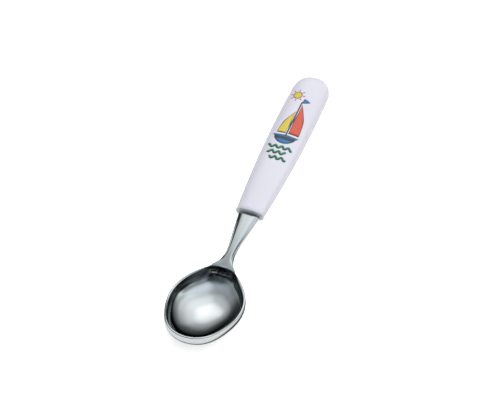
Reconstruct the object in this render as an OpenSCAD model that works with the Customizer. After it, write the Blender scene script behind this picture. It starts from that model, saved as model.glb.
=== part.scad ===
// Small table spoon: a pressed steel blank whose tang is bonded into a moulded
// handle, with a thin steel collar between the neck and the handle. Millimetres.
// It lies as it does on a table, on the belly of its bowl and the end of its handle.

/* [Bowl] */
// Length of the bowl's hollow, heel to tip
bowl_l = 39.8; // [34:0.1:50]
// Width of the bowl's hollow
bowl_w = 30.2; // [24:0.1:38]
// Depth of the hollow below the plane of the rim
bowl_d = 7.8; // [6:0.1:10]
// Thickness of the steel under the hollow
bowl_t = 1.4; // [1:0.05:2.2]
// Width of the rim, seen from above
rim_w = 1.2; // [1:0.05:2]
// Rounding of the rim and of the edges of the neck and tang
edge_r = 0.35; // [0.1:0.05:0.45]
// How far the rim sinks between heel and tip
rim_dip = 1.3; // [0:0.1:3]
// How far the rim rises at the heel
heel_rise = 1.8; // [0:0.1:3]
// Angle of the bowl to the table, tip up
bowl_tilt = 11; // [4:0.5:16]

/* [Neck] */
// Length of the neck, heel of the hollow to the collar
neck_l = 29.3; // [26:0.1:44]
// Width where the neck leaves the bowl
neck_root_w = 11.5; // [8:0.1:13]
// Width that the neck's straight taper would reach at the heel
neck_taper_w = 1.1; // [0.6:0.1:3]
// Width of the neck at the collar
neck_end_w = 9.6; // [9:0.1:12]
// Thickness of the neck near the bowl
neck_t = 2.3; // [1.8:0.05:3]
// How far the top of the neck rolls down to its sides
neck_roll = 0.8; // [0:0.05:1]

/* [Tang] */
// Length of the tang behind the collar's front
tang_l = 42; // [25:0.5:60]
// Width of the tang
tang_w = 7; // [5:0.1:7.4]
// Thickness of the tang
tang_t = 1.5; // [1.4:0.05:2]
// Height of the shoulder between neck and tang
shoulder_h = 0.3; // [0.28:0.01:0.5]
// Depth of the notches that key the tang into the bond
notch_d = 0.8; // [0.2:0.05:1.4]
// Length of each notch
notch_l = 5; // [3:0.1:7]

/* [Collar] */
// Width of the collar
collar_w = 12.8; // [12.6:0.1:15]
// Height of the collar
collar_h = 6.5; // [6.4:0.1:8]
// Thickness of the collar along the handle
collar_l = 1.1; // [0.8:0.05:2]
// Gap between the tang and the collar's slot
slot_gap = 0.12; // [0.05:0.01:0.25]

/* [Handle] */
// Length of the handle with its collar
handle_l = 80.9; // [70:0.1:100]
// Width of the handle behind the collar
handle_base_w = 12.5; // [11:0.1:14]
// Greatest width of the handle
handle_w = 17.6; // [15:0.1:22]
// Width that the handle's sides would reach at its end
handle_end_w = 16.5; // [14:0.1:17.5]
// Height of the handle behind the collar
handle_base_h = 6.4; // [5.6:0.1:8]
// Greatest height of the handle
handle_h = 8.6; // [8:0.1:13]
// Length of the rounding of the end, seen from above
end_round_l = 8.8; // [6:0.1:12]
// Length of the rounding of the end, seen from the side
end_drop_l = 4.6; // [3:0.1:6]
// Angle at which the handle slopes down to its end
handle_slope = 2.1; // [1:0.1:4]

/* [Bond] */
// Thickness of the bond round the tang
bond_t = 0.8; // [0.4:0.05:1]
// Length of bond past the tang's end
bond_end_l = 2; // [1:0.1:4]

/* [Hidden] */
// Shares of the hollow's half width that shape its egg outline
outline_shares = [1, 0.1, -0.11, -0.29];
// Powers of the hollow's section
wall_power_shares = [2, 0.3];
// Share of the hollow's length over which the heel rises
heel_share = 0.35;
// Share of the neck's length over which its root blends into the rim
root_share = 0.3;
// Power of the flare at the neck's root
flare_power_share = 8;
// Power of the roll across the neck's top
roll_power_share = 5;
// Places of the notches as shares of the tang's length
notch_shares = [0.38, 0.68];
// Power of the handle's rounded section
section_power_share = 2.5;
// Powers of the handle's rounded end, from above and from the side
end_power_shares = [2.3, 2.4];
// Share of the handle's length where it is highest
high_share = 0.8;
// Half angle of the section's side arcs
side_angle = 25;

// Columns round the bowl
cols = 64;
// Columns on each side of the heel that open into the neck
half = 4;
// Rings of the hollow
rings = 10;
// Rings from the neck's root to the collar
neck_rings = 24;
// Rings of the handle's sides and of its rounded end
side_rings = 16;
end_rings = 14;
// Points round the neck, and round the handle
loop = 4*half + 6;
wide = 2*loop;

function mix(a, b, s) = a + (b - a)*s;
function clamp(s) = max(0, min(1, s));
function smooth(s) = clamp(s)*clamp(s)*(3 - 2*clamp(s));
function flat(lists) = [for (a = lists) for (b = a) b];

// Egg outline of the hollow, moved out by off; t is 0 at the heel
function egg(c) = outline_shares*[1, c, c*c, c*c*c];
function egg_slope(c) = outline_shares*[0, 1, 2*c, 3*c*c];
function edge_dir(t) = [bowl_w/2*(cos(t)*egg(cos(t)) - sin(t)*sin(t)*egg_slope(cos(t))), -bowl_l/2*sin(t)];
function edge_at(t, off) =
    let (d = edge_dir(t)/norm(edge_dir(t)))
    [bowl_w/2*sin(t)*egg(cos(t)) - d[1]*off, -bowl_l/2*(1 - cos(t)) + d[0]*off];
// Height of the rim along the bowl
function rim_z(t) =
    let (s = (1 - cos(t))/2, r = clamp(1 - s/heel_share))
    heel_rise*r*r - rim_dip*sin(180*s)*sin(180*s);
function rim_point(t, off) = let (p = edge_at(t, off)) [p[0], p[1], rim_z(t)];
// A ring of the wall, inside or outside: r is 1 at the rim and 0 at the middle
function wall_rise(r) = 1 - pow(1 - pow(r, wall_power_shares[0]), wall_power_shares[1]);
function wall_point(t, off, deep, r) =
    let (p = edge_at(t, off))
    [p[0]*r, mix(-bowl_l/2, p[1], r), mix(-deep, rim_z(t) - edge_r, wall_rise(r))];
function turn(k) = 360*k/cols;
function wall_ring(off, deep, i) = [for (k = [0:cols - 1]) wall_point(turn(k), off, deep, sin(90*i/rings))];
function rim_ring(off) = [for (k = [0:cols - 1]) rim_point(turn(k), off)];

out_t = bowl_d + bowl_t;
bowl_rings = concat(
    [for (i = [1:rings]) wall_ring(0, bowl_d, i)],
    [rim_ring(edge_r)],
    [rim_ring(rim_w - edge_r)],
    [for (i = [rings:-1:1]) wall_ring(rim_w, out_t, i)]);
// First ring of the opening into the neck
open_row = rings + 1;

// Bowl frame to part frame, before and after the part is set on the table
function tip_up(p) =
    [p[0], p[1]*cos(bowl_tilt) + p[2]*sin(bowl_tilt), p[2]*cos(bowl_tilt) - p[1]*sin(bowl_tilt)];
bowl_low = min([for (r = bowl_rings) for (p = r) tip_up(p)[2]]);
bowl_tip = min([for (r = bowl_rings) for (p = r) tip_up(p)[1]]);

// Handle frame: x across, y along it from the collar's front, z up
function slope_down(p) =
    [p[0], p[1]*cos(handle_slope) + p[2]*sin(handle_slope), p[2]*cos(handle_slope) - p[1]*sin(handle_slope)];
function power(v, n) = sign(v)*pow(abs(v), n);
function oval_angle(j) =
    let (q = loop/2 - 3, a = 2*q, b = 6, i = j % loop, half_turn = floor(j/loop)*180)
    (i < a ? mix(180 - side_angle, side_angle, i/a) : mix(side_angle, -side_angle, (i - a)/b)) - half_turn;
function oval(w, h, y) = [for (j = [0:wide - 1])
    let (v = oval_angle(j), n = 2/section_power_share)
    [w/2*power(cos(v), n), y, h/2*power(sin(v), n)]];
// Widths and heights along the handle
body_l = handle_l - collar_l;
bulge = sqrt(handle_w - handle_base_w) + sqrt(max(0, handle_w - handle_end_w));
function side_w(s) =
    let (peak = sqrt(handle_w - handle_base_w)/bulge, d = (s - peak)*bulge)
    handle_w - d*d;
function side_h(s) = mix(handle_base_h, handle_h, sin(90*s/high_share));
function round_off(y, l, n) =
    let (q = clamp((y - handle_l + l)/l))
    sqrt(max(0, 1 - pow(q, n)));
function body_oval(y) =
    let (s = (y - collar_l)/body_l)
    oval(side_w(s)*round_off(y, end_round_l, end_power_shares[0]),
        side_h(s)*round_off(y, end_drop_l, end_power_shares[1]), y);
side_l = handle_l - end_round_l;
body_loops = concat(
    [for (i = [0:side_rings]) body_oval(mix(collar_l, side_l, i/side_rings))],
    [for (i = [1:end_rings - 1]) body_oval(mix(side_l, handle_l, sin(90*i/end_rings)))]);
handle_low = min([for (l = body_loops) for (p = l) slope_down(p)[2]]);
handle_far = slope_down([0, handle_l, 0])[1];

// Places of the heel and of the collar's front in the part frame
heel_z = -bowl_low;
front_z = -handle_low;
front_y = (neck_l - bowl_tip - handle_far)/2;
heel_y = front_y - neck_l;
function seat_bowl(p) = tip_up(p) + [0, heel_y, heel_z];
function seat_handle(p) = slope_down(p) + [0, front_y, front_z];

// Section of the neck, tang or socket: a rolled top, a flat underside and cut corners
function section(w, t, roll, cut) = concat(
    [for (k = [-half:half]) [(w/2 - cut)*k/half, -roll*pow(abs(k)/half, roll_power_share)]],
    [[w/2, -roll - cut], [w/2, cut - t]],
    [for (k = [half:-1:-half]) [(w/2 - cut)*k/half, -t]],
    [[-w/2, cut - t], [-w/2, -roll - cut]]);
function tang_loop(y, w) = [for (p = section(w, tang_t, 0, edge_r)) [p[0], y, p[1] + tang_t/2]];
function socket_loop(y) =
    [for (p = section(tang_w + 2*bond_t, tang_t + 2*bond_t, 0, edge_r)) [p[0], y, p[1] + tang_t/2 + bond_t]];

// Tang from the shoulder to its end
function notch_steps(share) =
    let (y = tang_l*share, w = tang_w - 2*notch_d)
    [[y, tang_w], [y + notch_d, w], [y + notch_l - notch_d, w], [y + notch_l, tang_w]];
tang_steps = concat([[collar_l, tang_w]], flat([for (s = notch_shares) notch_steps(s)]), [[tang_l, tang_w]]);
tang_loops = [for (s = tang_steps) tang_loop(s[0], s[1])];

// Opening in the bowl's wall that the neck grows from
function cell(row, k) = row*cols + (k + cols) % cols;
open_cells = concat(
    [for (k = [-half:half]) cell(open_row, k)],
    [cell(open_row + 1, half), cell(open_row + 2, half)],
    [for (k = [half:-1:-half]) cell(open_row + 3, k)],
    [cell(open_row + 2, -half), cell(open_row + 1, -half)]);
bowl_points = [for (r = bowl_rings) for (p = r) seat_bowl(p)];
open_loop = [for (c = open_cells) bowl_points[c]];

// Line of the neck's top, from the rim to the collar
root = bowl_points[cell(open_row, 0)];
end = seat_handle([0, 0, tang_t/2 + shoulder_h]);
root_rise = atan2(2*heel_rise, heel_share*bowl_l) - bowl_tilt;
root_dir = neck_l*[0, cos(root_rise), sin(root_rise)];
end_dir = neck_l*[0, cos(handle_slope), -sin(handle_slope)];
function curve(q) =
    (2*q*q*q - 3*q*q + 1)*root + (q*q*q - 2*q*q + q)*root_dir
    + (3*q*q - 2*q*q*q)*end + (q*q*q - q*q)*end_dir;
function neck_w(q) =
    mix(neck_taper_w, neck_end_w, q) + (neck_root_w - neck_taper_w)*pow(1 - q, flare_power_share);
function neck_section(q, w) =
    section(neck_w(w), mix(neck_t, tang_t + 2*shoulder_h, q), neck_roll*smooth(q/root_share), edge_r);
function neck_loop(q) =
    let (c = curve(q), lean = handle_slope*q, b = smooth(q/root_share), s = neck_section(q, q))
    [for (i = [0:loop - 1])
        let (o = open_loop[i] + c - root,
            y = mix(o[1], c[1] + s[i][1]*sin(lean), b),
            z = mix(o[2], c[2] + s[i][1]*cos(lean), b))
        [neck_section(q, (y - heel_y)/neck_l)[i][0], y, z]];
neck_loops = [for (j = [1:neck_rings]) neck_loop(j/neck_rings)];

// A quad as two triangles, split alike on the left and the right
function split(a, b, c, d, left) = left ? [[a, b, d], [b, c, d]] : [[a, b, c], [a, c, d]];
function is_left(i) = i < half || i >= loop - half - 3;
// Triangles between two loops given by their first indices
function band(a, b, n) = [for (i = [0:n - 1])
    let (k = (i + 1) % n)
    each [[a + i, b + i, b + k], [a + i, b + k, a + k]]];
function fan(a, n, middle) = [for (i = [0:n - 1]) [middle, a + i, a + (i + 1) % n]];
function turned(faces) = [for (f = faces) [f[2], f[1], f[0]]];
function centre(l) = [for (i = [0:2]) ([for (p = l) p[i]]*[for (p = l) 1])/len(l)];

module blank() {
    rows = len(bowl_rings);
    shoulder = [for (p = tang_loop(0, tang_w)) seat_handle(p)];
    loops = concat(neck_loops, [shoulder], [for (l = tang_loops) [for (p = l) seat_handle(p)]]);
    first = rows*cols;
    inner = first + len(loops)*loop;
    points = concat(bowl_points, flat(loops),
        [seat_bowl([0, -bowl_l/2, -bowl_d]), seat_bowl([0, -bowl_l/2, -out_t])],
        [centre(loops[len(loops) - 1])]);
    is_open = function(r, k) r >= open_row && r < open_row + 3 && (k < half || k >= cols - half);
    wall = [for (r = [0:rows - 2]) for (k = [0:cols - 1]) if (!is_open(r, k))
        each split(cell(r, k), cell(r + 1, k), cell(r + 1, k + 1), cell(r, k + 1), k >= cols/2)];
    joint = [for (i = [0:loop - 1])
        let (k = (i + 1) % loop)
        each split(open_cells[i], first + i, first + k, open_cells[k], is_left(i))];
    tube = [for (j = [0:len(loops) - 2]) for (i = [0:loop - 1])
        let (a = first + j*loop, k = (i + 1) % loop)
        each split(a + i, a + loop + i, a + loop + k, a + k, is_left(i))];
    faces = concat(wall, joint, tube, fan(0, cols, inner), turned(fan((rows - 1)*cols, cols, inner + 1)),
        turned(fan(first + (len(loops) - 1)*loop, loop, inner + 2)));
    color("lightgray") polyhedron(points, faces);
}

// An oval plate square to the handle, with the slot for the tang
module collar() {
    color("silver")
    translate([0, front_y, front_z]) rotate([-handle_slope, 0, 0])
    translate([0, collar_l, 0]) rotate([90, 0, 0]) linear_extrude(collar_l)
    difference() {
        polygon([for (p = oval(collar_w, collar_h, 0)) [p[0], p[2]]]);
        square([tang_w + 2*slot_gap, tang_t + 2*slot_gap], center = true);
    }
}

module handle() {
    outer = [for (l = body_loops) [for (p = l) seat_handle(p)]];
    pocket = [for (y = [tang_l + bond_end_l, collar_l]) [for (p = socket_loop(y)) seat_handle(p)]];
    first = 2*loop;
    inner = first + len(outer)*wide;
    points = concat(flat(pocket), flat(outer), [centre(pocket[0]), seat_handle([0, handle_l, 0])]);
    mouth = [for (i = [0:loop - 1])
        let (a = loop + i, b = loop + (i + 1) % loop)
        let (c = first + 2*i, d = c + 1, e = first + (2*i + 2) % wide)
        each [[a, c, d], [a, d, b], [b, d, e]]];
    faces = concat(fan(0, loop, inner), band(0, loop, loop), mouth,
        [for (j = [0:len(outer) - 2]) each band(first + j*wide, first + (j + 1)*wide, wide)],
        turned(fan(first + (len(outer) - 1)*wide, wide, inner + 1)));
    color([0.89, 0.886, 0.925]) polyhedron(points, faces);
}

module bond() {
    sleeve = concat([for (i = [len(tang_loops) - 1:-1:0]) tang_loops[i]],
        [socket_loop(collar_l), socket_loop(tang_l + bond_end_l)]);
    loops = [for (l = sleeve) [for (p = l) seat_handle(p)]];
    last = len(loops) - 1;
    points = concat(flat(loops), [centre(loops[0]), centre(loops[last])]);
    faces = concat(fan(0, loop, len(points) - 2),
        [for (j = [0:last - 1]) each band(j*loop, (j + 1)*loop, loop)],
        turned(fan(last*loop, loop, len(points) - 1)));
    color("wheat") polyhedron(points, faces);
}

blank();
collar();
handle();
bond();
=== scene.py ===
# %% [markdown]
# # A baby spoon on a white table
#
# The spoon is four pieces: a pressed steel blank (bowl, neck and a hidden tang), a thin
# steel collar, a moulded white handle, and the resin that bonds the tang inside the handle.
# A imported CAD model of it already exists, and this lesson dresses that model: finer meshes
# stand in for the faceted solids, and each piece gets a material made from nodes. Loading
# the CAD first means that every place and size below can be checked against it.

import math

import bmesh
import bpy
import numpy as np
from mathutils import Matrix, Vector


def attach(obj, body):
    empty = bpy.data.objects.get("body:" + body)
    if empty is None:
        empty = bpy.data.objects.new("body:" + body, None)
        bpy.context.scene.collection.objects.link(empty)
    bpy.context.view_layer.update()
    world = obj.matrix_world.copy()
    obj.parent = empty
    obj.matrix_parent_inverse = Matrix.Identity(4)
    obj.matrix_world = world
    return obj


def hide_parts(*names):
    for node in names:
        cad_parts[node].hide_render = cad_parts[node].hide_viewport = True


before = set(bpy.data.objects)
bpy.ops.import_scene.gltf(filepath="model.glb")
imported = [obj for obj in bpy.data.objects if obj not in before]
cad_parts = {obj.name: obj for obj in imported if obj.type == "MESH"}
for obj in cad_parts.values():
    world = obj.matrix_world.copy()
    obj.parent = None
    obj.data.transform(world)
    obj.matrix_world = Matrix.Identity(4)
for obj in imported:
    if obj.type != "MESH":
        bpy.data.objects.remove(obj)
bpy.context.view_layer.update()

# %% [markdown]
# ## The camera
#
# A photograph of a long thin thing fixes its camera well, because the outline gives both
# direction and tilt. The camera here looks down on the spoon from the bowl's side, is rolled
# a few degrees, and stands 80 cm off, so there is little perspective. It could be placed by
# a tracking constraint, but a matrix built from its own three axes is exact and has no
# hidden state.

# %% Camera
MM = 0.001
LOOKED_AT = Vector((0, -5.466*MM, 5*MM))
CAMERA_TURN, CAMERA_RISE, CAMERA_ROLL = (math.radians(a) for a in (28.808, 54.192, -8.272))
CAMERA_DISTANCE = 0.8
PHOTO_WIDTH, PHOTO_HEIGHT = 500, 417
FOCAL_PIXELS = 1866.9
AIM_X, AIM_Y = 249.68, 217.68
SENSOR = 36.0

back = Vector((math.sin(CAMERA_TURN)*math.cos(CAMERA_RISE),
               -math.cos(CAMERA_TURN)*math.cos(CAMERA_RISE),
               math.sin(CAMERA_RISE)))
level = Vector((math.cos(CAMERA_TURN), math.sin(CAMERA_TURN), 0))
upright = back.cross(level)
right = level*math.cos(CAMERA_ROLL) + upright*math.sin(CAMERA_ROLL)
up = upright*math.cos(CAMERA_ROLL) - level*math.sin(CAMERA_ROLL)

lens = bpy.data.cameras.new("photo_camera")
lens.sensor_width = SENSOR
lens.lens = FOCAL_PIXELS*SENSOR/PHOTO_WIDTH
lens.shift_x = (PHOTO_WIDTH/2 - AIM_X)/PHOTO_WIDTH
lens.shift_y = (AIM_Y - PHOTO_HEIGHT/2)/PHOTO_WIDTH
lens.clip_start, lens.clip_end = 0.01, 20
camera = bpy.data.objects.new("photo_camera", lens)
place = LOOKED_AT + back*CAMERA_DISTANCE
camera.matrix_world = Matrix((
    (right.x, up.x, back.x, place.x),
    (right.y, up.y, back.y, place.y),
    (right.z, up.z, back.z, place.z),
    (0, 0, 0, 1)))
bpy.context.scene.collection.objects.link(camera)
bpy.context.scene.camera = camera
print("camera at", tuple(round(v, 3) for v in place), "lens", round(lens.lens, 1), "mm")

# %% [markdown]
# ## Helpers for meshes and loops
#
# Every piece of this spoon is a loft: a row of closed loops of points with faces between
# neighbours. Subdivided boxes or extruded curves would need sculpting to hit the CAD's
# shape, while loops worked out by formula land on it exactly and can be as fine as a mirror
# finish asks. numpy makes the loops and `from_pydata` makes the mesh. The part is described
# in millimetres, and this is the one place where they turn into metres.

# %% Mesh helpers
def mix(a, b, s):
    return a + (b - a)*s


def smooth_step(s):
    s = np.clip(s, 0, 1)
    return s*s*(3 - 2*s)


def make_piece(name, points, faces):
    mesh = bpy.data.meshes.new(name)
    mesh.from_pydata((np.asarray(points)*MM).tolist(), [], faces)
    mesh.validate()
    mesh.shade_smooth()
    piece = bpy.data.objects.new(name, mesh)
    bpy.context.scene.collection.objects.link(piece)
    print(f"{name}: {len(mesh.vertices)} points, {len(mesh.polygons)} faces")
    return piece


def band(a, b, n):
    """Quads between two loops of n points whose first indices are a and b."""
    return [(a + i, b + i, b + (i + 1) % n, a + (i + 1) % n) for i in range(n)]


def fan(a, n, middle, turned=False):
    """Triangles from a loop of n points to a middle point."""
    ring = [(middle, a + i, a + (i + 1) % n) for i in range(n)]
    return [f[::-1] for f in ring] if turned else ring


def face_outwards(piece):
    net = bmesh.new()
    net.from_mesh(piece.data)
    bmesh.ops.recalc_face_normals(net, faces=net.faces)
    net.to_mesh(piece.data)
    net.free()


print("smooth_step eases 0.25 and 0.75 to", smooth_step(np.array([0.25, 0.75])).round(3))

# %% [markdown]
# ## The bowl
#
# A spoon's bowl is drawn from sheet steel: one thickness, an egg outline that is blunt at
# the tip, a rim that dips in side view, and a wall that is nearly flat in the middle and
# steep at the rim. A sphere cut in half has none of that. Here each ring of the wall is the
# egg outline shrunk towards the middle, and a power law lifts the rings to the rim. The
# rim's two edges are rounded over a few rings, because the bright hairline along a real
# spoon's rim is light caught by that rounding.

# %% Sizes of the bowl and its outline
BOWL_L, BOWL_W, BOWL_D, BOWL_T = 39.8, 30.2, 7.8, 1.4
RIM_W, EDGE_R = 1.2, 0.35
RIM_DIP, HEEL_RISE, HEEL_SHARE = 1.3, 1.8, 0.35
BOWL_TILT = math.radians(11)
OUTLINE = (1, 0.1, -0.11, -0.29)
WALL_POWERS = (2, 0.3)


def egg(c):
    return OUTLINE[0] + OUTLINE[1]*c + OUTLINE[2]*c*c + OUTLINE[3]*c**3


def egg_slope(c):
    return OUTLINE[1] + 2*OUTLINE[2]*c + 3*OUTLINE[3]*c*c


def outline_at(turn, off):
    """The bowl's outline, turn 0 at the heel, moved out by off millimetres."""
    c, s = np.cos(turn), np.sin(turn)
    along = np.stack([BOWL_W/2*(c*egg(c) - s*s*egg_slope(c)), -BOWL_L/2*s])
    along /= np.linalg.norm(along, axis=0)
    return BOWL_W/2*s*egg(c) - along[1]*off, -BOWL_L/2*(1 - c) + along[0]*off


def rim_height(turn):
    s = (1 - np.cos(turn))/2
    rise = np.clip(1 - s/HEEL_SHARE, 0, 1)
    return HEEL_RISE*rise*rise - RIM_DIP*np.sin(math.pi*s)**2


def wall_ring(turn, off, deep, reach):
    """One ring of the wall: reach is 1 at the rim and 0 at the middle."""
    x, y = outline_at(turn, off)
    rise = 1 - (1 - reach**WALL_POWERS[0])**WALL_POWERS[1]
    z = mix(-deep, rim_height(turn) - EDGE_R, rise)
    return np.stack([x*reach, mix(-BOWL_L/2, y, reach), z], 1)


def rim_ring(turn, off):
    x, y = outline_at(turn, off)
    return np.stack([x, y, rim_height(turn)], 1)


rim_x, rim_y = outline_at(np.radians(np.arange(360)), RIM_W)
print("over the rim:", round(np.ptp(rim_x), 2), "mm wide,", round(np.ptp(rim_y), 2), "mm long")

# %% Rings of the bowl
COLUMNS, RINGS = 192, 40
CORNER_W, CORNER_CUTS = 0.2, 3
HEEL_CORNER, HEEL_FLAT, HEEL_CORNER_AT, HEEL_SPREAD = 0.75, 0.4, 0.45, 0.2
turns = 2*math.pi*np.arange(COLUMNS)/COLUMNS
reaches = np.sin(math.pi/2*np.arange(1, RINGS + 1)/RINGS)


def bell(value, middle, spread):
    return np.exp(-((value - middle)/spread)**2)


def corners_cut(rings, times):
    """Chaikin's rule: each corner is replaced by two softer ones, and the ends stay."""
    for _ in range(times):
        softer = [rings[0]]
        for a, b in zip(rings[:-1], rings[1:]):
            softer += [mix(a, b, 0.25), mix(a, b, 0.75)]
        rings = [softer[0]] + softer[2:-2] + [rings[-1]]
    return rings


from_heel = np.minimum(turns, 2*math.pi - turns)
blunt = (HEEL_CORNER*bell(from_heel, HEEL_CORNER_AT, HEEL_SPREAD)
         - HEEL_FLAT*bell(from_heel, 0, HEEL_SPREAD))
inner_wall = [wall_ring(turns, blunt*r**3, BOWL_D, r) for r in reaches[:-1]]
outer_wall = [wall_ring(turns, RIM_W, BOWL_D + BOWL_T, r) for r in reaches[-2::-1]]
edge = corners_cut([
    inner_wall[-1],
    wall_ring(turns, blunt, BOWL_D, 1.0),
    rim_ring(turns, blunt + CORNER_W),
    rim_ring(turns, RIM_W - CORNER_W),
    wall_ring(turns, RIM_W, BOWL_D + BOWL_T, 1.0),
    outer_wall[0]], CORNER_CUTS)
bowl_rings = inner_wall[:-1] + edge + outer_wall[1:]
print("bowl rings:", len(bowl_rings), "of", COLUMNS, "points;", len(edge), "of them round the rim")

# %% [markdown]
# ## Setting the pieces on the table
#
# The bowl and the handle are each drawn level and then seated: the bowl tips up by its
# tilt, the handle slopes down to its end, and both drop until they touch the table. The offsets could be
# read off the CAD mesh, but working them out from the same lowest points keeps this file and the CAD in
# step, and the print shows the seats.

# %% The handle's shape
NECK_L = 29.3
HANDLE_L, HANDLE_BASE_W, HANDLE_W, HANDLE_END_W = 80.9, 12.5, 17.6, 16.5
HANDLE_BASE_H, HANDLE_H, HIGH_SHARE = 6.4, 8.6, 0.8
END_ROUND_L, END_DROP_L, END_POWERS = 8.8, 4.6, (2.3, 2.4)
SECTION_POWER = 2.5
OVAL_STEPS, TYPICAL_HALF_W, TYPICAL_HALF_H = 4001, 9, 4.5
COLLAR_W, COLLAR_H, COLLAR_L = 12.8, 6.5, 1.1
HANDLE_SLOPE = math.radians(2.1)


def leaned(points, angle):
    """Turned about the spoon's crosswise axis: the near side goes down with a positive angle."""
    x, y, z = np.moveaxis(np.asarray(points, float), -1, 0)
    c, s = math.cos(angle), math.sin(angle)
    return np.stack([x, y*c + z*s, z*c - y*s], -1)


bulge = math.sqrt(HANDLE_W - HANDLE_BASE_W) + math.sqrt(HANDLE_W - HANDLE_END_W)
widest = math.sqrt(HANDLE_W - HANDLE_BASE_W)/bulge


def handle_width(y):
    share = (y - COLLAR_L)/(HANDLE_L - COLLAR_L)
    close = np.clip((y - HANDLE_L + END_ROUND_L)/END_ROUND_L, 0, 1)
    return (HANDLE_W - ((share - widest)*bulge)**2)*np.sqrt(1 - close**END_POWERS[0])


def handle_height(y):
    share = (y - COLLAR_L)/(HANDLE_L - COLLAR_L)
    close = np.clip((y - HANDLE_L + END_DROP_L)/END_DROP_L, 0, 1)
    rise = np.sin(math.pi/2*share/HIGH_SHARE)
    return mix(HANDLE_BASE_H, HANDLE_H, rise)*np.sqrt(1 - close**END_POWERS[1])


def oval(width, height, count=120):
    """A rounded section with its points evenly spaced round it, from the left over the top."""
    v = np.linspace(math.pi, -math.pi, OVAL_STEPS)
    x = np.sign(np.cos(v))*np.abs(np.cos(v))**(2/SECTION_POWER)
    z = np.sign(np.sin(v))*np.abs(np.sin(v))**(2/SECTION_POWER)
    steps = np.hypot(np.diff(x)*TYPICAL_HALF_W, np.diff(z)*TYPICAL_HALF_H)
    walked = np.concatenate([[0], np.cumsum(steps)])
    at = np.linspace(0, walked[-1], count, endpoint=False)
    return np.interp(at, walked, x)*width/2, np.interp(at, walked, z)*height/2


def handle_loop(y):
    x, z = oval(handle_width(y), handle_height(y))
    return np.stack([x, np.full_like(x, y), z], 1)


widest_y = mix(COLLAR_L, HANDLE_L, widest)
print("handle widest:", round(float(handle_width(widest_y)), 2), "mm,", round(widest_y, 1), "mm along")

# %% The seats
bowl_low = min(leaned(r, BOWL_TILT)[:, 2].min() for r in bowl_rings)
bowl_tip = min(leaned(r, BOWL_TILT)[:, 1].min() for r in bowl_rings)
end_stations = np.linspace(60, HANDLE_L, 120)
handle_low = min(leaned(handle_loop(y), HANDLE_SLOPE)[:, 2].min() for y in end_stations)
handle_far = HANDLE_L*math.cos(HANDLE_SLOPE)
front_y = (NECK_L - bowl_tip - handle_far)/2
bowl_seat = np.array([0, front_y - NECK_L, -bowl_low])
handle_seat = np.array([0, front_y, -handle_low])


def on_bowl(points):
    return leaned(points, BOWL_TILT) + bowl_seat


def on_handle(points):
    return leaned(points, HANDLE_SLOPE) + handle_seat


print("bowl seat", bowl_seat.round(3), "handle seat", handle_seat.round(3))

# %% [markdown]
# ## The neck and the tang
#
# The neck grows out of the heel of the bowl, narrows, and widens again to the collar. On
# the real spoon it is the same sheet of steel, so it mustn't look stuck on. A boolean union
# would leave a hard seam with poor faces. Instead a window is left open in the rim's outer
# side, and the neck's loops start as that window and change step by step into a rolled
# section. A curve with a given slope at both ends carries them to the collar, and the tang
# goes on from there inside the handle.

# %% Sections of the neck
NECK_ROOT_W, NECK_TAPER_W, NECK_END_W = 11.5, 1.1, 9.6
NECK_T, NECK_ROLL, ROLL_POWER, FLARE_POWER, ROOT_SHARE = 2.3, 0.8, 5, 8, 0.3
TANG_L, TANG_W, TANG_T, SHOULDER_H = 42.0, 7.0, 1.5, 0.3
NOTCH_D, NOTCH_L, NOTCH_SHARES = 0.8, 5.0, (0.38, 0.68)
HALF = COLUMNS//16
WINDOW_TOP, WINDOW_DEPTH, BEND_STEPS = 0.56, 0.8, 9
window_row = len(inner_wall) - 1 + round(WINDOW_TOP*len(edge))
window_end = len(bowl_rings) - 1 - int(np.sum(reaches < math.sin(math.radians(90*WINDOW_DEPTH))))
SIDE_RINGS = window_end - window_row - 1
LOOP = 2*(2*HALF + 1) + 2*SIDE_RINGS


def rounded_side(width, top, bottom, cut):
    """Points down one side between its two rounded corners, evenly spaced."""
    bend = np.linspace(0, math.pi/2, BEND_STEPS)
    x = np.concatenate([width/2 - cut + cut*np.sin(bend), width/2 - cut + cut*np.cos(bend)])
    z = np.concatenate([top - cut + cut*np.cos(bend), bottom + cut - cut*np.sin(bend)])
    walked = np.concatenate([[0], np.cumsum(np.hypot(np.diff(x), np.diff(z)))])
    at = np.linspace(0, walked[-1], SIDE_RINGS + 2)[1:-1]
    return np.interp(at, walked, x), np.interp(at, walked, z)


def section(width, thick, roll, cut):
    """The neck's section: a top that rolls down to its sides, and a flat underside."""
    k = np.arange(-HALF, HALF + 1)/HALF
    top_x, top_z = (width/2 - cut)*k, -roll*np.abs(k)**ROLL_POWER
    side_x, side_z = rounded_side(width, -roll, -thick, cut)
    x = np.concatenate([top_x, side_x, top_x[::-1], -side_x[::-1]])
    z = np.concatenate([top_z, side_z, np.full(2*HALF + 1, -thick), side_z[::-1]])
    return x, z


def neck_width(q):
    flare = np.maximum(1 - q, 0)**FLARE_POWER
    return mix(NECK_TAPER_W, NECK_END_W, q) + (NECK_ROOT_W - NECK_TAPER_W)*flare


window_rows = range(window_row, window_end + 1)
columns = list(range(-HALF, HALF + 1))


def cell(row, column):
    return row*COLUMNS + column % COLUMNS


window = ([cell(window_row, k) for k in columns]
          + [cell(r, HALF) for r in window_rows[1:-1]]
          + [cell(window_rows[-1], k) for k in reversed(columns)]
          + [cell(r, -HALF) for r in reversed(window_rows[1:-1])])
bowl_points = on_bowl(np.concatenate(bowl_rings))
window_loop = bowl_points[window]
print("window of", len(window), "points,", LOOP, "wanted")

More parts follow.
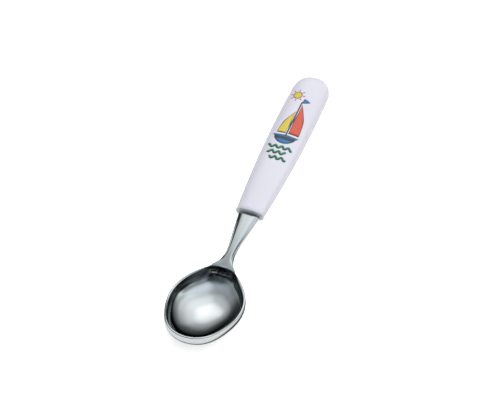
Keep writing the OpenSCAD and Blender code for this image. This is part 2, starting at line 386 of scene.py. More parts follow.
# %% The line that the neck follows
root = bowl_points[cell(window_row, 0)]
neck_end = on_handle([0, 0, TANG_T/2 + SHOULDER_H])
root_slope = math.atan2(2*HEEL_RISE, HEEL_SHARE*BOWL_L) - BOWL_TILT
root_way = NECK_L*np.array([0, math.cos(root_slope), math.sin(root_slope)])
end_way = NECK_L*np.array([0, math.cos(HANDLE_SLOPE), -math.sin(HANDLE_SLOPE)])


def neck_line(q):
    return ((2*q**3 - 3*q**2 + 1)*root + (q**3 - 2*q**2 + q)*root_way
            + (3*q**2 - 2*q**3)*neck_end + (q**3 - q**2)*end_way)


def neck_loop(q, shrink=0):
    centre, lean = neck_line(q), HANDLE_SLOPE*q
    blend = smooth_step(q/ROOT_SHARE)
    thick = mix(NECK_T, TANG_T + 2*SHOULDER_H, q)
    roll = NECK_ROLL*blend
    z_here = section(neck_width(q), thick, roll, EDGE_R)[1]
    moved = window_loop + centre - root
    y = mix(moved[:, 1], centre[1] + z_here*math.sin(lean), blend)
    z = mix(moved[:, 2], centre[2] + z_here*math.cos(lean), blend)
    widths = neck_width((y - bowl_seat[1])/NECK_L)
    x = np.array([section(widths[i], thick, roll, EDGE_R)[0][i] for i in range(LOOP)])
    return np.stack([x*(1 - shrink), y, z - shrink*(z_here + thick/2)], 1)


NECK_RINGS = 72
SHOULDER_EDGE = ((0.25, 0), (0.12, 0.01), (0.03, 0.03), (0, 0.06))
neck_loops = [neck_loop(q) for q in np.arange(1, NECK_RINGS)/NECK_RINGS]
neck_loops += [neck_loop(1 - short/NECK_L, shrink) for short, shrink in SHOULDER_EDGE]
narrowest = 2*min(loop[:, 0].max() for loop in neck_loops)
print("neck loops:", len(neck_loops), "narrowest", round(narrowest, 2), "mm")

# %% The tang, and the whole blank
def tang_loop(y, width):
    x, z = section(width, TANG_T, 0, EDGE_R)
    return on_handle(np.stack([x, np.full(LOOP, y), z + TANG_T/2], 1))


tang_loops = [tang_loop(0, TANG_W), tang_loop(COLLAR_L, TANG_W)]
for share in NOTCH_SHARES:
    start, narrow = TANG_L*share, TANG_W - 2*NOTCH_D
    for y, width in ((0, TANG_W), (NOTCH_D, narrow), (NOTCH_L - NOTCH_D, narrow), (NOTCH_L, TANG_W)):
        tang_loops.append(tang_loop(start + y, width))
tang_loops.append(tang_loop(TANG_L, TANG_W))

loops = neck_loops + tang_loops
rows = len(bowl_rings)
first = rows*COLUMNS
middles = on_bowl([[0, -BOWL_L/2, -BOWL_D], [0, -BOWL_L/2, -BOWL_D - BOWL_T]])
points = np.concatenate([bowl_points] + loops + [middles, [tang_loops[-1].mean(0)]])
tip = first + len(loops)*LOOP

in_window = set(window_rows[:-1])
faces = []
for row in range(rows - 1):
    for k in range(COLUMNS):
        if row in in_window and (k < HALF or k >= COLUMNS - HALF):
            continue
        faces.append((cell(row, k), cell(row + 1, k), cell(row + 1, k + 1), cell(row, k + 1)))
for i in range(LOOP):
    j = (i + 1) % LOOP
    faces.append((window[i], first + i, first + j, window[j]))
for n in range(len(loops) - 1):
    faces += band(first + n*LOOP, first + (n + 1)*LOOP, LOOP)
faces += fan(0, COLUMNS, tip)
faces += fan((rows - 1)*COLUMNS, COLUMNS, tip + 1, turned=True)
faces += fan(first + (len(loops) - 1)*LOOP, LOOP, tip + 2, turned=True)
blank = make_piece("steel_blank", points, faces)
face_outwards(blank)

# %% [markdown]
# ## Easing the neck's root
#
# Where the neck leaves the rim, the loft alone gives a crease on each side. A press tool
# has a radius there. A bevel can't follow an edge that fades away, so the points round the
# window are relaxed instead: each is moved a few times towards the middle of its
# neighbours, which rounds a crease and leaves smooth ground nearly as it was.

# %% Relax the root
EASING = ((1.6, 6), (0.9, 10))
EASED_FROM, EASED_TO, SPARED_ROWS = root[1] - 4, root[1] + 9, window_row - 2
net = bmesh.new()
net.from_mesh(blank.data)
net.verts.ensure_lookup_table()
for reach_mm, times in EASING:
    eased = []
    for v in net.verts:
        place_mm = np.array(v.co)/MM
        if v.index < SPARED_ROWS*COLUMNS or not EASED_FROM < place_mm[1] < EASED_TO:
            continue
        if np.linalg.norm(window_loop - place_mm, axis=1).min() < reach_mm:
            eased.append(v)
    for _ in range(times):
        bmesh.ops.smooth_vert(net, verts=eased, factor=0.5,
                              use_axis_x=True, use_axis_y=True, use_axis_z=True)
    print("eased", len(eased), "points,", times, "times")
net.to_mesh(blank.data)
net.free()
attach(blank, "root")
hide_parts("blank")

# %% [markdown]
# ## The collar
#
# A thin stamped plate closes the mouth of the handle, with a slot that the tang passes
# through. A disc with a hole cut by a boolean would have razor edges. The plate is lofted
# round its own section instead: out from the slot across the front, which falls away
# slightly towards its edge, over a rounded edge to the back, and in to the slot again. The
# slot and, later, the socket are rectangles, and their points are spread by angle so that
# they pair up with the points of the oval.

# %% Collar
COLLAR_EDGE, COLLAR_DOME, DOME_IN, AROUND = 0.25, 0.6, 1.5, 120
SLOT_GAP, SLOT_EDGE, NEARLY_ZERO = 0.12, 0.1, 1e-9


def box_ring(half_w, half_h, y):
    """A rectangle with as many points as the oval and starting at the same side."""
    x, z = oval(1.0, 1.0, AROUND)
    turn = np.arctan2(z*half_h, x*half_w)
    size = np.minimum(half_w/np.maximum(np.abs(np.cos(turn)), NEARLY_ZERO),
                      half_h/np.maximum(np.abs(np.sin(turn)), NEARLY_ZERO))
    return np.stack([size*np.cos(turn), np.full(AROUND, y), size*np.sin(turn)], 1)


def slot_ring(y, grow=0.0):
    return box_ring(TANG_W/2 + SLOT_GAP + grow, TANG_T/2 + SLOT_GAP + grow, y)


def collar_ring(y, inset):
    x, z = oval(COLLAR_W - 2*inset, COLLAR_H - 2*inset, AROUND)
    return np.stack([x, np.full(AROUND, y), z], 1)


quarter = np.linspace(0, math.pi/2, 6)
collar_rings = [slot_ring(SLOT_EDGE), slot_ring(0, SLOT_EDGE)]
collar_rings += [collar_ring(COLLAR_DOME*(1 - math.sin(a)), DOME_IN*(1 - math.cos(a)))
                 for a in quarter[::-1]]
collar_rings += [collar_ring(COLLAR_L - COLLAR_EDGE*(1 - math.sin(a)), COLLAR_EDGE*(1 - math.cos(a)))
                 for a in quarter]
collar_rings += [slot_ring(COLLAR_L, SLOT_EDGE), slot_ring(COLLAR_L - SLOT_EDGE)]
count = len(collar_rings)
faces = []
for n in range(count):
    faces += band(n*AROUND, (n + 1) % count*AROUND, AROUND)
collar = make_piece("steel_collar", on_handle(np.concatenate(collar_rings)), faces)
face_outwards(collar)
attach(collar, "root")
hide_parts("collar")

# %% [markdown]
# ## The handle
#
# The handle is one solid moulding: a rounded section that swells in width and height
# towards a blunt round end. A box with a subdivision modifier gives nearly this, but its
# width at any place is hard to set. Lofting the section along the handle keeps every width
# as measured. The rings crowd together towards the end, where the surface turns fastest,
# and the edge at the mouth gets a small radius so that a fine joint line shows there.

# %% Handle
MOUTH_EDGE, LONG_STEPS, END_STEPS = 0.35, 60, 40
SOCKET_GAP, SOCKET_END = 0.8, 2
SOCKET_W, SOCKET_H, SOCKET_L = TANG_W + 2*SOCKET_GAP, TANG_T + 2*SOCKET_GAP, TANG_L + SOCKET_END


def socket_ring(y):
    return box_ring(SOCKET_W/2, SOCKET_H/2, y)


def inset_loop(y, inset):
    loop = handle_loop(y)
    loop[:, 0] *= 1 - 2*inset/handle_width(y)
    loop[:, 2] *= 1 - 2*inset/handle_height(y)
    return loop


stations = np.concatenate([
    np.linspace(COLLAR_L + MOUTH_EDGE, HANDLE_L - END_ROUND_L, LONG_STEPS, endpoint=False),
    HANDLE_L - END_ROUND_L + END_ROUND_L*np.sin(math.pi/2*np.arange(END_STEPS)/END_STEPS)])
handle_rings = [socket_ring(SOCKET_L), socket_ring(COLLAR_L)]
handle_rings += [inset_loop(COLLAR_L + MOUTH_EDGE*(1 - math.cos(a)), MOUTH_EDGE*(1 - math.sin(a)))
                 for a in quarter[:-1]]
handle_rings += [handle_loop(y) for y in stations]
last = len(handle_rings)
middles = np.array([[0, SOCKET_L, 0], [0, HANDLE_L, 0]])
faces = fan(0, AROUND, last*AROUND)
for n in range(last - 1):
    faces += band(n*AROUND, (n + 1)*AROUND, AROUND)
faces += fan((last - 1)*AROUND, AROUND, last*AROUND + 1, turned=True)
handle = make_piece("moulded_handle", on_handle(np.concatenate(handle_rings + [middles])), faces)
face_outwards(handle)
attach(handle, "root")
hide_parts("handle")

# %% [markdown]
# ## Node materials
#
# Each material is a small graph of nodes round one Principled shader. A helper keeps the
# graphs short to read: it adds a node, sets its plain inputs, and wires the others. Values
# that are the same all over a piece are typed into the shader itself. Colours are written
# as paint codes and turned into the linear values that a shader reckons in.

# %% Material helpers
def new_material(name):
    material = bpy.data.materials.new(name)
    material.use_nodes = True
    material.node_tree.nodes.clear()
    return material, material.node_tree


def add(tree, kind, inputs=None, **settings):
    node = tree.nodes.new(kind)
    for key, value in settings.items():
        setattr(node, key, value)
    for key, value in (inputs or {}).items():
        if hasattr(value, "links"):
            tree.links.new(value, node.inputs[key])
        else:
            node.inputs[key].default_value = value
    return node


def finish_material(tree, shader):
    out = add(tree, "ShaderNodeOutputMaterial")
    tree.links.new(shader.outputs[0], out.inputs["Surface"])


def shade(hex_code, alpha=1.0):
    """A colour as a paint code, turned into the linear values that shaders take."""
    parts = [int(hex_code[i:i + 2], 16)/255 for i in (0, 2, 4)]
    return [p/12.92 if p <= 0.04045 else ((p + 0.055)/1.055)**2.4 for p in parts] + [alpha]


print("paint code 808080 is", round(shade("808080")[0], 3), "in linear light")

# %% [markdown]
# ## Polished steel
#
# Table steel is buffed, not perfectly flat: a close look shows hair-fine polishing lines, a
# slow waviness from the press, and cloudy patches where the buffing was lighter. A metallic
# shader with one roughness looks like chrome plate. Here stretched noise bends the surface
# by a hair, a slow noise adds the waviness, and a third varies the roughness a little. The
# collar isn't buffed but blasted: the same graph with a high roughness, and less of the
# metal in it, gives that pale satin, because it then takes light from all round.

# %% Steel
def steel(name, colour, darker, rough_low, rough_high, metallic=1.0):
    material, tree = new_material(name)
    where = add(tree, "ShaderNodeTexCoord").outputs["Object"]
    stretched = add(tree, "ShaderNodeMapping", {"Vector": where, "Scale": (9000, 500, 9000)})
    lines = add(tree, "ShaderNodeTexNoise", {
        "Vector": stretched.outputs[0], "Scale": 1.0, "Detail": 3.0})
    clouds = add(tree, "ShaderNodeTexNoise", {"Vector": where, "Scale": 160.0, "Detail": 4.0})
    waves = add(tree, "ShaderNodeTexNoise", {"Vector": where, "Scale": 90.0, "Detail": 1.0})
    tint = add(tree, "ShaderNodeMix", {"Factor": clouds.outputs["Fac"]}, data_type="RGBA")
    tint.inputs[6].default_value = shade(darker)
    tint.inputs[7].default_value = shade(colour)
    rough = add(tree, "ShaderNodeMapRange", {
        "Value": clouds.outputs["Fac"], "From Min": 0.3, "From Max": 0.7,
        "To Min": rough_low, "To Max": rough_high})
    fine = add(tree, "ShaderNodeBump", {
        "Height": lines.outputs["Fac"], "Strength": 0.05, "Distance": 0.00001})
    slow = add(tree, "ShaderNodeBump", {
        "Height": waves.outputs["Fac"], "Strength": 0.3, "Distance": 0.0001,
        "Normal": fine.outputs[0]})
    shader = add(tree, "ShaderNodeBsdfPrincipled", {
        "Base Color": tint.outputs[2], "Metallic": metallic,
        "Roughness": rough.outputs[0], "Normal": slow.outputs[0]})
    finish_material(tree, shader)
    return material


polished_steel = steel("polished_steel", "C8CACA", "C0C3C3", 0.04, 0.08)
collar_finish = steel("satin_collar", "E6E7EC", "DADCE2", 0.5, 0.6, metallic=0.3)
blank.data.materials.append(polished_steel)
collar.data.materials.append(collar_finish)
print("steel:", [m.name for m in (polished_steel, collar_finish)])

# %% [markdown]
# ## White moulded plastic
#
# The handle is a glossy white with a breath of lavender. Thick white plastic lets light in
# a little way, so its shadows are soft and warm, and its gloss ripples slightly because the
# moulding shrinks as it cools. A little subsurface light, a slow bump and a fine noise in
# the colour give that. Noise strong enough to see at once would look like stone.

# %% Plastic
plastic, tree = new_material("white_plastic")
where = add(tree, "ShaderNodeTexCoord").outputs["Object"]
cloud = add(tree, "ShaderNodeTexNoise", {"Vector": where, "Scale": 70.0, "Detail": 5.0})
ripple = add(tree, "ShaderNodeTexNoise", {"Vector": where, "Scale": 140.0, "Detail": 1.5})
speck = add(tree, "ShaderNodeTexNoise", {"Vector": where, "Scale": 2600.0, "Detail": 2.0})
colour = add(tree, "ShaderNodeMix", {"Factor": cloud.outputs["Fac"]}, data_type="RGBA")
colour.inputs[6].default_value = shade("E3DFE9")
colour.inputs[7].default_value = shade("E9E5ED")
gloss = add(tree, "ShaderNodeMapRange", {
    "Value": speck.outputs["Fac"], "From Min": 0.3, "From Max": 0.7, "To Min": 0.2, "To Max": 0.27})
slow = add(tree, "ShaderNodeBump", {
    "Height": ripple.outputs["Fac"], "Strength": 0.2, "Distance": 0.0001})
shader = add(tree, "ShaderNodeBsdfPrincipled", {
    "Base Color": colour.outputs[2], "Roughness": gloss.outputs[0], "Normal": slow.outputs[0],
    "Subsurface Weight": 0.15, "Subsurface Scale": 0.002, "IOR": 1.5})
shader.inputs["Subsurface Radius"].default_value = (1.0, 0.8, 0.7)
finish_material(tree, shader)
handle.data.materials.append(plastic)
print("plastic on", handle.name)

# %% [markdown]
# ## The picture on the handle
#
# Children's spoons carry a small printed picture, and this one gets a sailing boat on green
# waves under a yellow sun. The ink is pad printed: each colour is a layer a few hundredths
# of a millimetre thick, with dark ink round it. An image texture would blur close up, so
# every patch of ink is a closed sheet of mesh that follows the top of the handle. Outlines
# are drawn on the handle as seen from above: u runs across it and v along it. The dark
# ink lies lowest and the colours over it, so a shape gets its dark edge from a slightly
# larger dark shape underneath.

# %% Helpers for ink
INK_UNDER, DARK_LIFT, COLOUR_LIFT, OVERPRINT_LIFT = -0.03, 0.025, 0.05, 0.07
WALK_STEP, FEWEST_STEPS, CAP_STEPS = 0.25, 24, 7
FRAME_EDGE = 0.4
inks = {}


def on_top(u, v, lift):
    """A point of the handle's upper surface, raised by lift."""
    share = np.clip(np.abs(2*u/handle_width(v)), 0, 1)
    z = handle_height(v)/2*(1 - share**SECTION_POWER)**(1/SECTION_POWER)
    return on_handle(np.stack([u, v, z + lift], -1))


def lay_ink(ink, points, faces):
    """Add a closed sheet to the ink of one colour."""
    have_points, have_faces = inks.setdefault(ink, ([], []))
    start = sum(len(p) for p in have_points)
    have_points.append(points)
    have_faces.extend(tuple(start + i for i in f) for f in faces)


def walk(corners):
    """Points at even steps round a closed outline."""
    loop = np.array(list(corners) + [corners[0]], float)
    walked = np.concatenate([[0], np.cumsum(np.hypot(*np.diff(loop, axis=0).T))])
    steps = max(FEWEST_STEPS, int(walked[-1]/WALK_STEP))
    at = np.linspace(0, walked[-1], steps, endpoint=False)
    return np.stack([np.interp(at, walked, loop[:, 0]), np.interp(at, walked, loop[:, 1])], 1)


def patch_of_ink(ink, corners, lift, rings=7):
    """A filled shape, laid in rings from its middle so that it bends with the handle."""
    outline = walk(corners)
    n, middle = len(outline), outline.mean(0)
    shares = [k/rings for k in range(1, rings + 1)]
    loops = [on_top(*(middle + s*(outline - middle)).T, lift) for s in shares]
    loops.append(on_top(*outline.T, INK_UNDER))
    ends = np.stack([on_top(*middle, lift), on_top(*middle, INK_UNDER)])
    faces = fan(0, n, (rings + 1)*n)
    for k in range(rings):
        faces += band(k*n, (k + 1)*n, n)
    faces += fan(rings*n, n, (rings + 1)*n + 1, turned=True)
    lay_ink(ink, np.concatenate(loops + [ends]), faces)


print("top of the handle half way along:", on_top(0.0, HANDLE_L/2, 0.0).round(2), "mm")

# %% Strokes and framed shapes
def line_of_ink(ink, path, width, lift):
    """A stroke of even width with rounded ends."""
    path = np.asarray(path, float)
    way = np.gradient(path, axis=0)
    way /= np.linalg.norm(way, axis=1, keepdims=True)
    side = np.stack([-way[:, 1], way[:, 0]], 1)*width/2
    ends = np.linspace(-math.pi/2, math.pi/2, CAP_STEPS)[1:-1]
    cap = [path[-1] + way[-1]*width/2*math.cos(a) - side[-1]*math.sin(a) for a in ends]
    foot = [path[0] - way[0]*width/2*math.cos(a) + side[0]*math.sin(a) for a in ends]
    outline = np.concatenate([path + side, cap, (path - side)[::-1], foot])
    n, half_n = len(outline), len(path)
    top, under = on_top(*outline.T, lift), on_top(*outline.T, INK_UNDER)
    back_end = 2*half_n + len(cap) - 1
    upper = [(k, k + 1, back_end - k - 1, back_end - k) for k in range(half_n - 1)]
    upper += [tuple(range(half_n - 1, half_n + len(cap) + 1)), (*range(n - len(foot) - 1, n), 0)]
    faces = upper + [tuple(n + i for i in f[::-1]) for f in upper] + band(0, n, n)
    lay_ink(ink, np.concatenate([top, under]), faces)


def grown(corners, by):
    """The same shape, larger by a given distance all round its middle."""
    outline = walk(corners)
    away = outline - outline.mean(0)
    return outline + by*away/np.linalg.norm(away, axis=1, keepdims=True)


def framed(ink, corners, edge=FRAME_EDGE):
    """A patch of colour on a slightly larger patch of dark ink."""
    patch_of_ink("charcoal", grown(corners, edge), DARK_LIFT)
    patch_of_ink(ink, corners, COLOUR_LIFT)


def round_outline(u, v, radius, count=40):
    turn = 2*math.pi*np.arange(count)/count
    return [(u + radius*math.cos(a), v + radius*math.sin(a)) for a in turn]


framed_disc = grown(round_outline(0, 0, 1.0), FRAME_EDGE)
print("a disc of radius 1 gets a dark edge out to", framed_disc[:, 0].max().round(2), "mm")

# %% The boat
DECK, MAST_TOP, MAST_W = 43.0, 63.0, 0.6
HULL_HALF, KEEL_SHARE, KEEL_TURN, FREEBOARD, KEEL_DEPTH = 5.6, 0.78, 1.35, 0.6, 3.6
STRIPE = ((-4.5, -2.3), (4.5, -2.3), (5.0, -0.7), (-5.0, -0.7))
SAIL_FOOT, MAST_GAP = DECK + 1.6, 0.75
keel = [(HULL_HALF*KEEL_SHARE*math.sin(a), DECK - FREEBOARD - KEEL_DEPTH*math.cos(a))
        for a in np.linspace(-KEEL_TURN, KEEL_TURN, 25)]
framed("blue", [(-HULL_HALF, DECK), *keel, (HULL_HALF, DECK)])
patch_of_ink("charcoal", [(u, DECK + v) for u, v in STRIPE], OVERPRINT_LIFT)


def sail(foot_u, tip_v, swell):
    """A sail that bellies out between its foot and the mast."""
    start = math.copysign(MAST_GAP, foot_u)
    leech = [(mix(foot_u, start, t) + swell*math.sin(math.pi*t), mix(SAIL_FOOT, tip_v, t))
             for t in np.linspace(0, 1, 16)]
    return [(start, SAIL_FOOT)] + leech


framed("red", sail(5.4, 61.5, 1.1))
framed("yellow", sail(-4.6, 57.0, -0.8))
line_of_ink("charcoal", [(0, v) for v in np.linspace(DECK, MAST_TOP, 30)], MAST_W, COLOUR_LIFT)
framed("blue", [(0.5, MAST_TOP - 0.3), (3.4, MAST_TOP + 0.9), (0.5, MAST_TOP + 2.1)], 0.3)
print("boat:", {ink: len(sheets) for ink, (sheets, _) in inks.items()}, "sheets of ink")

# %% Waves and the sun
WAVES = ((36.4, -5.4, 5.2), (33.4, -4.4, 3.2), (30.4, -2.6, 4.6))
WAVE_HEIGHT, WAVE_RATE, WAVE_W, WAVE_SHADOW_W, WAVE_SHADOW_DROP = 0.6, 2.1, 0.8, 1.15, 0.2
SUN, SUN_R, SUN_EDGE, BEAM_W, BEAM_RADII = (-3.4, 66.6), 1.7, 0.35, 0.45, (2.5, 2.9, 3.3)
for row, (v, start, end) in enumerate(WAVES):
    u = np.linspace(start, end, 60)
    wave = np.stack([u, v + WAVE_HEIGHT*np.sin(WAVE_RATE*u + row)], 1)
    line_of_ink("charcoal", wave - [0, WAVE_SHADOW_DROP], WAVE_SHADOW_W, DARK_LIFT)
    line_of_ink("green", wave, WAVE_W, COLOUR_LIFT)

framed("yellow", round_outline(*SUN, SUN_R), SUN_EDGE)
for a in np.radians(np.arange(0, 360, 45)):
    beam = [(SUN[0] + r*math.sin(a), SUN[1] + r*math.cos(a)) for r in BEAM_RADII]
    line_of_ink("red", beam, BEAM_W, COLOUR_LIFT)
print("all:", {ink: len(sheets) for ink, (sheets, _) in inks.items()}, "sheets of ink")

# %% [markdown]
# ## The inks
#
# Pad printing ink dries slightly duller than moulded plastic and a little uneven, because
# the pad lets go of it in a thin film. One function makes all five inks, so they differ
# only in colour. Two close tones of each are mixed by a noise, and a finer one varies the
# gloss.

# %% Ink
def ink_material(name, light, dark):
    material, tree = new_material(name)
    where = add(tree, "ShaderNodeTexCoord").outputs["Object"]
    cloud = add(tree, "ShaderNodeTexNoise", {"Vector": where, "Scale": 420.0, "Detail": 4.0})
    grain = add(tree, "ShaderNodeTexNoise", {"Vector": where, "Scale": 3200.0, "Detail": 2.0})
    tint = add(tree, "ShaderNodeMix", {"Factor": cloud.outputs["Fac"]}, data_type="RGBA")
    tint.inputs[6].default_value = shade(dark)
    tint.inputs[7].default_value = shade(light)
    rough = add(tree, "ShaderNodeMapRange", {
        "Value": grain.outputs["Fac"], "From Min": 0.3, "From Max": 0.7,
        "To Min": 0.26, "To Max": 0.38})
    dents = add(tree, "ShaderNodeBump", {
        "Height": grain.outputs["Fac"], "Strength": 0.15, "Distance": 0.00002})
    shader = add(tree, "ShaderNodeBsdfPrincipled", {
        "Base Color": tint.outputs[2], "Roughness": rough.outputs[0], "Normal": dents.outputs[0]})
    finish_material(tree, shader)
    return material


INK_COLOURS = {
    "charcoal": ("4E4E54", "3B3B41"),
    "yellow": ("EBD25C", "DCC046"),
    "red": ("E4664C", "D4553F"),
    "blue": ("3A80B8", "2C6FA8"),
    "green": ("47916F", "37805F"),
}
for ink, (ink_points, ink_faces) in inks.items():
    printed = make_piece(f"print_{ink}", np.concatenate(ink_points), ink_faces)
    face_outwards(printed)
    printed.data.materials.append(ink_material(f"{ink}_ink", *INK_COLOURS[ink]))
    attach(printed, "root")

# %% [markdown]
# ## The resin bond
#
# The tang is held by cured resin that fills the socket. Nobody sees it, but it is a real
# piece, so the CAD solid stays and gets its own finish: a pale amber with small bubbles.

# %% Resin
resin, tree = new_material("cured_resin")
where = add(tree, "ShaderNodeTexCoord").outputs["Object"]
bubble = add(tree, "ShaderNodeTexVoronoi", {"Vector": where, "Scale": 900.0})
colour = add(tree, "ShaderNodeMix", {"Factor": bubble.outputs["Distance"]}, data_type="RGBA")
colour.inputs[6].default_value = shade("D9C391")
colour.inputs[7].default_value = shade("C9AE74")
dents = add(tree, "ShaderNodeBump", {
    "Height": bubble.outputs["Distance"], "Strength": 0.3, "Distance": 0.0002})
shader = add(tree, "ShaderNodeBsdfPrincipled", {
    "Base Color": colour.outputs[2], "Roughness": 0.45, "Normal": dents.outputs[0]})
finish_material(tree, shader)
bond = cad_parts["bond"]
bond.data.materials.clear()
bond.data.materials.append(resin)
print("resin on", bond.name)

# %% [markdown]
# ## The table
#
# A white sweep in a studio is paper that carries on past the picture. One large sheet is
# enough here. A product photographer lights the paper more than the object, so that it
# turns pure white. The same is had by giving the paper a little light of its own, shown
# only to the camera, to mirrors and to clear things, and the spoon's shadow still darkens it.
# Polished steel also shows a thin dark line where it comes close to a table. For that line the paper
# gets a painted shadow that only mirrors see: in an oval under the bowl they see none of this light, and
# the paper's colour there is darkened.

# %% The kinds of ray
def maths(tree, operation, *values):
    """A node that reckons with numbers."""
    return add(tree, "ShaderNodeMath", dict(enumerate(values)), operation=operation).outputs[0]


def ray_kinds(tree):
    """1 for a ray straight from the camera, and 1 for one that left a mirror or a clear thing."""
    rays = add(tree, "ShaderNodeLightPath")
    mirrored = maths(tree, "MAXIMUM", rays.outputs["Is Glossy Ray"], rays.outputs["Is Transmission Ray"])
    return rays.outputs["Is Camera Ray"], mirrored


paper, tree = new_material("white_paper")
seen, mirrored = ray_kinds(tree)
print("rays told apart:", seen.name, "and mirrored")

# %% Paper
# The third number is how much the painted shadow under the bowl darkens the paper in mirrors.
SEEN_LIFT, MIRROR_LIFT, PAINTED_SHADOW_DEPTH = 0.7, 0.4, 0.9
BOWL_PLACE, PER_WIDTH, PER_LENGTH = 0.0485, 60, 48
PAINTED_SHADOW_FADE, LIFT_FADE = (1.2, 1.6), (0.2, 0.9)
where = add(tree, "ShaderNodeTexCoord").outputs["Object"]
fibre = add(tree, "ShaderNodeTexNoise", {"Vector": where, "Scale": 900.0, "Detail": 4.0})
colour = add(tree, "ShaderNodeMix", {"Factor": fibre.outputs["Fac"]}, data_type="RGBA")
colour.inputs[6].default_value = shade("F0F0EF")
colour.inputs[7].default_value = shade("F4F4F3")
on_oval = add(tree, "ShaderNodeMapping", {
    "Vector": where, "Location": (0, BOWL_PLACE*PER_LENGTH, 0), "Scale": (PER_WIDTH, PER_LENGTH, 0)})
from_bowl = add(tree, "ShaderNodeVectorMath", {0: on_oval.outputs[0]}, operation="LENGTH")
painted_shadow_oval = add(tree, "ShaderNodeMapRange", {
    "Value": from_bowl.outputs["Value"], "From Min": PAINTED_SHADOW_FADE[0], "From Max": PAINTED_SHADOW_FADE[1],
    "To Min": 1.0, "To Max": 0.0}, interpolation_type="SMOOTHSTEP").outputs[0]
# Painted shadow, in mirrors only: inside the oval under the bowl the paper loses its glow and its colour
# is darkened.
painted_shadow_mask = maths(tree, "MULTIPLY", mirrored, painted_shadow_oval)
mirror_lift = maths(tree, "MULTIPLY", maths(tree, "SUBTRACT", mirrored, painted_shadow_mask), MIRROR_LIFT)
painted_shadow_factor = maths(tree, "MULTIPLY_ADD", painted_shadow_mask, -PAINTED_SHADOW_DEPTH, 1.0)
painted_shadow_colour = add(tree, "ShaderNodeVectorMath", {0: colour.outputs[2], "Scale": painted_shadow_factor}, operation="SCALE")
matt = add(tree, "ShaderNodeBsdfDiffuse", {"Color": painted_shadow_colour.outputs[0]})
away = add(tree, "ShaderNodeVectorMath", {0: where}, operation="LENGTH").outputs["Value"]
seen_lift = add(tree, "ShaderNodeMapRange", {
    "Value": away, "From Min": LIFT_FADE[0], "From Max": LIFT_FADE[1],
    "To Min": SEEN_LIFT, "To Max": 1.0}).outputs[0]
lift = maths(tree, "MULTIPLY_ADD", seen, seen_lift, mirror_lift)
glow = add(tree, "ShaderNodeEmission", {"Color": (1, 1, 1, 1), "Strength": lift})
both = add(tree, "ShaderNodeAddShader", {0: matt.outputs[0], 1: glow.outputs[0]})
finish_material(tree, both)
print("paper:", len(tree.nodes), "nodes")

# %% Floor
FLOOR_HALF, FLOOR_GAP = 1500.0, 0.02
floor_corners = [[x*FLOOR_HALF, y*FLOOR_HALF, 0] for x, y in ((-1, -1), (1, -1), (1, 1), (-1, 1))]
floor = make_piece("paper_floor", floor_corners, [(0, 1, 2, 3)])
floor.location.z = -FLOOR_GAP*MM
floor.data.materials.append(paper)

# %% [markdown]
# ## The studio round the spoon
#
# Polished steel has no look of its own: it shows the room. A photographer hangs soft boxes
# over the table and leaves the walls dark, so that a spoon's hollow is bright in the middle
# and black along its edge. Modelling the lamps one by one would leave hard gaps between
# them. Here a dome stands round the table like a tent, and its inside glows in soft round
# patches. Black cards, which photographers call flags, shade some parts of it again, since
# a mirror finish needs dark to look deep. The camera doesn't see the dome, only the plain
# white beyond it.

# %% The tent
TENT_RADIUS, TENT_FOOT, TENT_ROWS, TENT_COLUMNS = 1400.0, -4, 24, 64
tent_rises = np.radians(np.linspace(TENT_FOOT, 90, TENT_ROWS + 1))[:-1]
tent_turns = 2*math.pi*np.arange(TENT_COLUMNS)/TENT_COLUMNS
tent_points = [[TENT_RADIUS*math.cos(r)*math.cos(t), TENT_RADIUS*math.cos(r)*math.sin(t),
                TENT_RADIUS*math.sin(r)] for r in tent_rises for t in tent_turns]
tent_points.append([0, 0, TENT_RADIUS])
faces = []
for n in range(TENT_ROWS - 1):
    faces += band(n*TENT_COLUMNS, (n + 1)*TENT_COLUMNS, TENT_COLUMNS)
faces += fan((TENT_ROWS - 1)*TENT_COLUMNS, TENT_COLUMNS, TENT_ROWS*TENT_COLUMNS)
tent = make_piece("light_tent", tent_points, faces)
tent.visible_camera = False

# %% Patches of light on the tent
tent_cloth, tree = new_material("tent_cloth")
where = add(tree, "ShaderNodeTexCoord").outputs["Object"]
towards = add(tree, "ShaderNodeVectorMath", {0: where}, operation="NORMALIZE").outputs["Vector"]


def heading(turn_deg, rise_deg):
    """A direction: turn is 0 towards the handle's end and 90 to the right of it."""
    t, r = math.radians(turn_deg), math.radians(rise_deg)
    return (math.sin(t)*math.cos(r), math.cos(t)*math.cos(r), math.sin(r))


def patch(turn_deg, rise_deg, inner_deg, outer_deg):
    """A round patch that fades between two angles from its middle."""
    near = add(tree, "ShaderNodeVectorMath", {
        0: towards, 1: heading(turn_deg, rise_deg)}, operation="DOT_PRODUCT")
    return add(tree, "ShaderNodeMapRange", {
        "Value": near.outputs["Value"], "From Min": math.cos(math.radians(outer_deg)),
        "From Max": math.cos(math.radians(inner_deg))}, interpolation_type="SMOOTHSTEP").outputs[0]


WARM, PLAIN = (1.04, 1.0, 0.97), (0.95, 1.0, 1.02)
COOL, GREEN = (0.8, 0.98, 1.14), (0.92, 1.03, 1.0)
LIGHTS = {
    "ceiling": (patch(-20, 60, 0, 49), PLAIN, 0.35),
    "back box": (patch(-26, 43, 0, 22), PLAIN, 0.56),
    "lamp in the back box": (patch(-26, 40, 1, 11), WARM, 0.66),
    "over the handle": (patch(-4, 46, 8, 22), PLAIN, 0.37),
    "right box": (patch(33, 51, 5, 43), PLAIN, 0.4),
    "right window": (patch(78, 43, 11, 32), PLAIN, 0.42),
    "left box": (patch(-111, 54, 6, 48), COOL, 0.25),
    "left wall": (patch(-103, 0, 4, 71), GREEN, 0.23),
    "far wall": (patch(99, 55, 12, 73), COOL, 0.17),
    "sill": (patch(171, 41, 0, 15), PLAIN, 0.15),
    "skylight": (patch(34, 72, 0, 24), COOL, 0.36),
    "side of the right box": (patch(50, 38, 0, 20), PLAIN, 0.22),
}
print("patches of light:", ", ".join(LIGHTS))

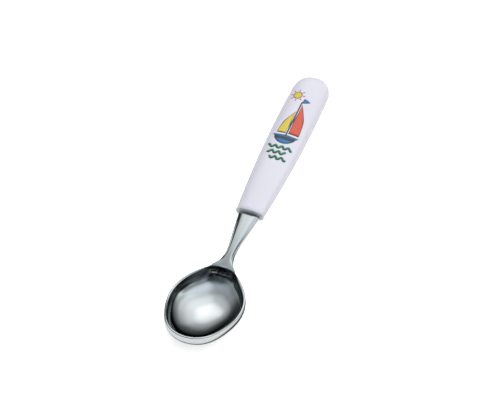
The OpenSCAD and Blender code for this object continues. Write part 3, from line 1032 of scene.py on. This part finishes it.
# %% Black flags, and all of it added up
FLAGS = {
    "behind, to the left": (patch(-60, 19, 6, 30), 0.7),
    "in front, to the right": (patch(154, 35, 6, 28), 0.9),
    "low on the right": (patch(90, 20, 8, 28), 0.93),
    "in front, to the left": (patch(-135, 18, 2, 33), 0.9),
    "high on the right": (patch(72, 54, 0, 20), 0.5),
    "high in front": (patch(180, 64, 0, 34), 0.7),
}
total = None
for mask, tint, strength in LIGHTS.values():
    scaled = add(tree, "ShaderNodeVectorMath", {
        0: mask, 1: [t*strength for t in tint]}, operation="MULTIPLY").outputs[0]
    if total is not None:
        scaled = add(tree, "ShaderNodeVectorMath", {0: total, 1: scaled}, operation="ADD").outputs[0]
    total = scaled
for mask, depth in FLAGS.values():
    left = maths(tree, "MULTIPLY_ADD", mask, -depth, 1.0)
    total = add(tree, "ShaderNodeVectorMath", {0: total, "Scale": left}, operation="SCALE").outputs[0]
glow = add(tree, "ShaderNodeEmission", {"Color": total, "Strength": 1.0})
finish_material(tree, glow)
tent.data.materials.append(tent_cloth)
print("black flags:", "; ".join(FLAGS))

# %% White beyond the tent
world = bpy.data.worlds.new("white_studio")
bpy.context.scene.world = world
world.use_nodes = True
tree = world.node_tree
tree.nodes.clear()
seen, mirrored = ray_kinds(tree)
white = add(tree, "ShaderNodeBackground", {
    "Color": (1, 1, 1, 1), "Strength": maths(tree, "MAXIMUM", mirrored, seen)})
out = add(tree, "ShaderNodeOutputWorld")
tree.links.new(white.outputs[0], out.inputs["Surface"])
print("world:", world.name, "with", len(tree.nodes), "nodes")

# %% [markdown]
# ## The lamp
#
# The tent alone would leave the plastic dull. One large lamp overhead lights it and gives
# the soft shadow. It is hidden from mirrors, where the tent's patches already stand for it.

# %% Lamp
LAMP_POWER, LAMP_SIZE, LAMP_PLACE = 9.4, 1.2, (0.3, 0.05, 1.0)
lamp_data = bpy.data.lights.new("overhead_softbox", "AREA")
lamp_data.shape = "RECTANGLE"
lamp_data.size, lamp_data.size_y = LAMP_SIZE, LAMP_SIZE
lamp_data.energy = LAMP_POWER
lamp = bpy.data.objects.new("overhead_softbox", lamp_data)
lamp.location = LAMP_PLACE
lamp.rotation_euler = (Vector((0, 0, 0)) - lamp.location).to_track_quat("-Z", "Y").to_euler()
lamp.visible_glossy = False
bpy.context.scene.collection.objects.link(lamp)
bpy.context.scene.view_settings.view_transform = "Standard"
print("lamp:", LAMP_POWER, "W,", LAMP_SIZE, "m wide,", round(lamp.location.length, 2), "m away")
